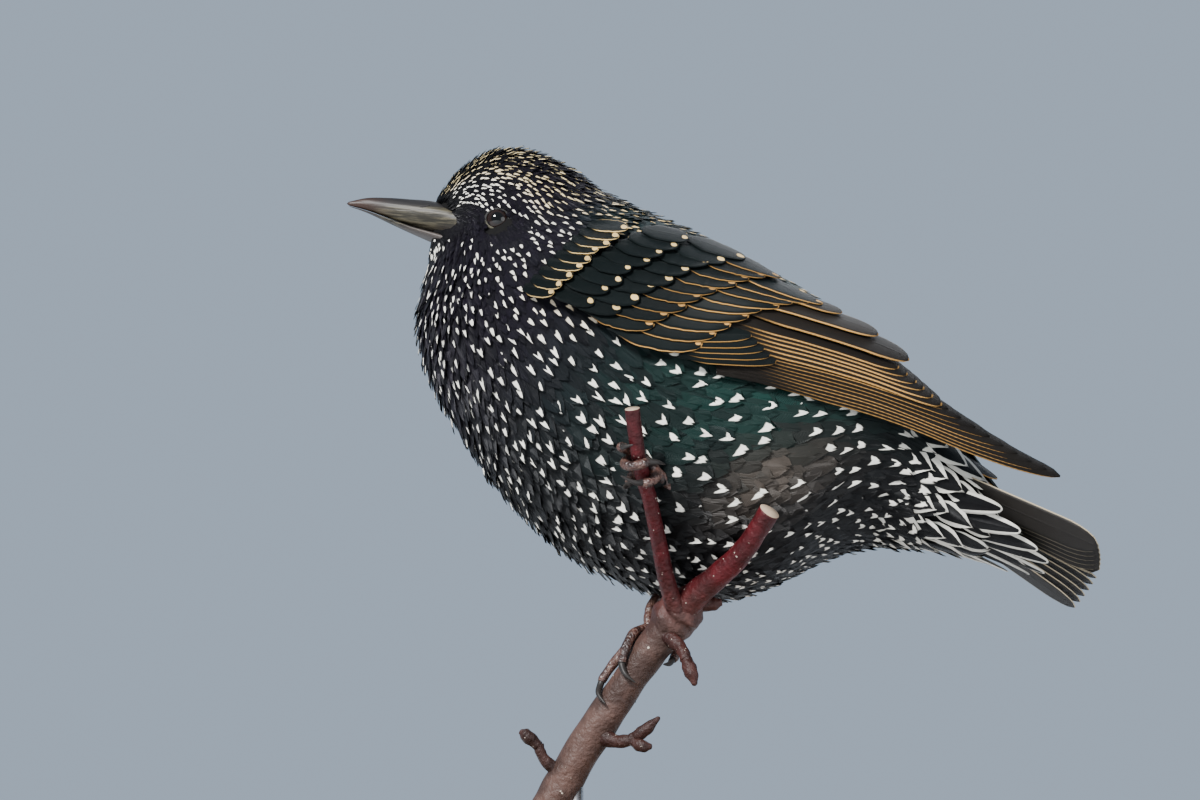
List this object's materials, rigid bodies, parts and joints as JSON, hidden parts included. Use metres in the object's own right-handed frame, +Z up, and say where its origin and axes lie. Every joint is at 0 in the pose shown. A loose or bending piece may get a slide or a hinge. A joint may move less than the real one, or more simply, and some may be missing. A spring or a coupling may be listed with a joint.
{
  "type": "starling model",
  "caption": "Life-size starling in spotted winter plumage, standing on a cut forked perch held by a plain oval display stand.",
  "frame": {"origin": "centre of the underside of the whole object's bounding box, on the display stand's underside", "axes": "+Z up, -X the way the bill points, +X the tail, -Y the bird's left side"},
  "size_m": [0.183, 0.1, 0.1834],
  "materials": {
    "plumage": "satin",
    "flight_feathers": "satin",
    "bill": "satin",
    "eye": "polished",
    "scaled_skin": "satin",
    "claw": "satin",
    "bark": "matte",
    "stand_wood": "satin",
    "stand_steel": "satin"
  },
  "bodies": {
    "root": {"head": "plumage", "neck": "plumage", "torso": "plumage", "tail": "flight_feathers", "wing_left": "flight_feathers", "wing_right": "flight_feathers", "bill_upper": "bill", "bill_lower": "bill", "eye_left": "eye", "eye_right": "eye", "leg_left": "scaled_skin", "leg_right": "scaled_skin", "foot_left": "scaled_skin", "foot_right": "scaled_skin", "perch": "bark", "stand_base": "stand_wood", "stand_rod": "stand_steel", "claw_left_1": "claw", "claw_left_2": "claw", "claw_left_3": "claw", "claw_left_4": "claw", "claw_right_1": "claw", "claw_right_2": "claw", "claw_right_3": "claw", "claw_right_4": "claw"}
  },
  "joints": []
}
